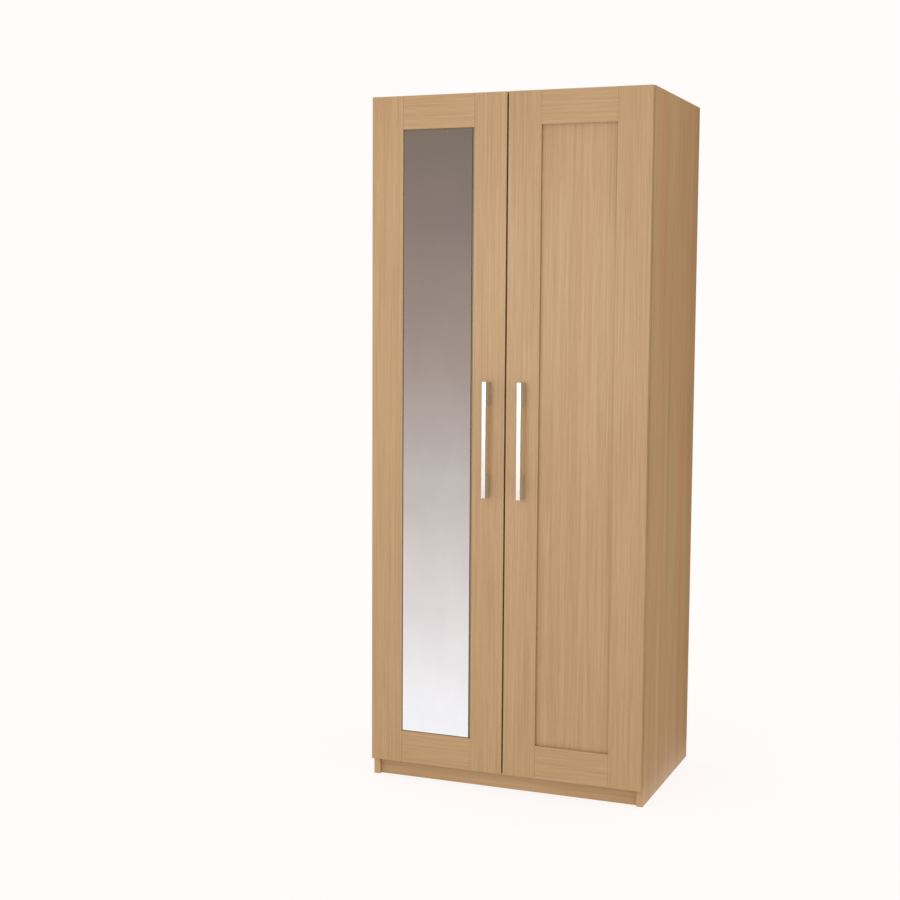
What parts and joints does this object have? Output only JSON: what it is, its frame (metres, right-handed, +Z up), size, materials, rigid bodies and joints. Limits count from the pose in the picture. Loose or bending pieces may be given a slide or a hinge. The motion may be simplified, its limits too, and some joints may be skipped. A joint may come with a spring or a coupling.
{
  "type": "hinged-door wardrobe",
  "caption": "Tall free-standing wardrobe with two framed hinged doors, one mirrored and one panelled, bar handles, hat shelf, hanging rail and concealed cup hinges.",
  "frame": {"origin": "On the floor at the middle of the overall footprint, handles included.", "axes": "+X to the right seen from the front, +Y towards the back, +Z up"},
  "size_m": [0.8, 0.5674, 1.928],
  "materials": {
    "oak_foil": "light oak foil on chipboard, satin",
    "hardboard": "thin fibreboard, printed light oak inside, matt",
    "white_plastic": "plain moulded strip",
    "mirror_glass": "silvered float glass",
    "satin_nickel": "satin nickel handle",
    "nickel_steel": "nickel-plated pressed steel",
    "chrome_tube": "chromed steel tube",
    "zinc_steel": "zinc-plated screws"
  },
  "bodies": {
    "carcass": {"back_joining_strip": "white_plastic", "base_panel": "oak_foil", "front_plinth": "oak_foil", "hanging_rail": "chrome_tube", "hat_shelf": "oak_foil", "left_back_panel": "hardboard", "left_lower_hinge_arm": "nickel_steel", "left_lower_mounting_plate": "nickel_steel", "left_middle_hinge_arm": "nickel_steel", "left_middle_mounting_plate": "nickel_steel", "left_rail_socket": "nickel_steel", "left_side_panel": "oak_foil", "left_upper_hinge_arm": "nickel_steel", "left_upper_mounting_plate": "nickel_steel", "rear_plinth": "oak_foil", "right_back_panel": "hardboard", "right_lower_hinge_arm": "nickel_steel", "right_lower_mounting_plate": "nickel_steel", "right_middle_hinge_arm": "nickel_steel", "right_middle_mounting_plate": "nickel_steel", "right_rail_socket": "nickel_steel", "right_side_panel": "oak_foil", "right_upper_hinge_arm": "nickel_steel", "right_upper_mounting_plate": "nickel_steel", "top_panel": "oak_foil"},
    "left_door": {"left_door_bottom_rail": "oak_foil", "left_door_inner_stile": "oak_foil", "left_door_outer_stile": "oak_foil", "left_door_panel": "oak_foil", "left_door_top_rail": "oak_foil", "left_handle": "satin_nickel", "left_handle_lower_screw": "zinc_steel", "left_handle_upper_screw": "zinc_steel", "left_lower_hinge_cup": "nickel_steel", "left_middle_hinge_cup": "nickel_steel", "left_upper_hinge_cup": "nickel_steel", "mirror": "mirror_glass"},
    "right_door": {"right_door_bottom_rail": "oak_foil", "right_door_inner_stile": "oak_foil", "right_door_outer_stile": "oak_foil", "right_door_panel": "oak_foil", "right_door_top_rail": "oak_foil", "right_handle": "satin_nickel", "right_handle_lower_screw": "zinc_steel", "right_handle_upper_screw": "zinc_steel", "right_lower_hinge_cup": "nickel_steel", "right_middle_hinge_cup": "nickel_steel", "right_upper_hinge_cup": "nickel_steel"},
    "left_long_links": {"left_lower_long_link": "nickel_steel", "left_middle_long_link": "nickel_steel", "left_upper_long_link": "nickel_steel"},
    "left_short_links": {"left_lower_short_link": "nickel_steel", "left_middle_short_link": "nickel_steel", "left_upper_short_link": "nickel_steel"},
    "right_long_links": {"right_lower_long_link": "nickel_steel", "right_middle_long_link": "nickel_steel", "right_upper_long_link": "nickel_steel"},
    "right_short_links": {"right_lower_short_link": "nickel_steel", "right_middle_short_link": "nickel_steel", "right_upper_short_link": "nickel_steel"}
  },
  "joints": [
    {"name": "left_long_link_swing", "type": "hinge", "parent": "carcass", "child": "left_long_links", "pos_m": [-0.364, -0.21805, 0.988], "axis": [0, 0, -1], "range_deg": [-28.5, 0]},
    {"name": "left_door_swing", "type": "hinge", "parent": "left_long_links", "child": "left_door", "pos_m": [-0.3892, -0.23585, 0.988], "axis": [0, 0, -1], "range_deg": [0, 123.2]},
    {"name": "left_short_link_swing", "type": "hinge", "parent": "carcass", "child": "left_short_links", "pos_m": [-0.364, -0.24075, 0.988], "axis": [0, 0, -1], "range_deg": [-36.2, 0]},
    {"name": "right_long_link_swing", "type": "hinge", "parent": "carcass", "child": "right_long_links", "pos_m": [0.364, -0.21805, 0.988], "axis": [0, 0, 1], "range_deg": [-28.5, 0]},
    {"name": "right_door_swing", "type": "hinge", "parent": "right_long_links", "child": "right_door", "pos_m": [0.3892, -0.23585, 0.988], "axis": [0, 0, 1], "range_deg": [0, 123.2]},
    {"name": "right_short_link_swing", "type": "hinge", "parent": "carcass", "child": "right_short_links", "pos_m": [0.364, -0.24075, 0.988], "axis": [0, 0, 1], "range_deg": [-36.2, 0]}
  ],
  "couplings": [
    {"joint": "left_long_link_swing", "follows": "left_door_swing", "ratio": -0.22929},
    {"joint": "left_short_link_swing", "follows": "left_door_swing", "ratio": -0.29094},
    {"joint": "right_long_link_swing", "follows": "right_door_swing", "ratio": -0.22929},
    {"joint": "right_short_link_swing", "follows": "right_door_swing", "ratio": -0.29094}
  ]
}
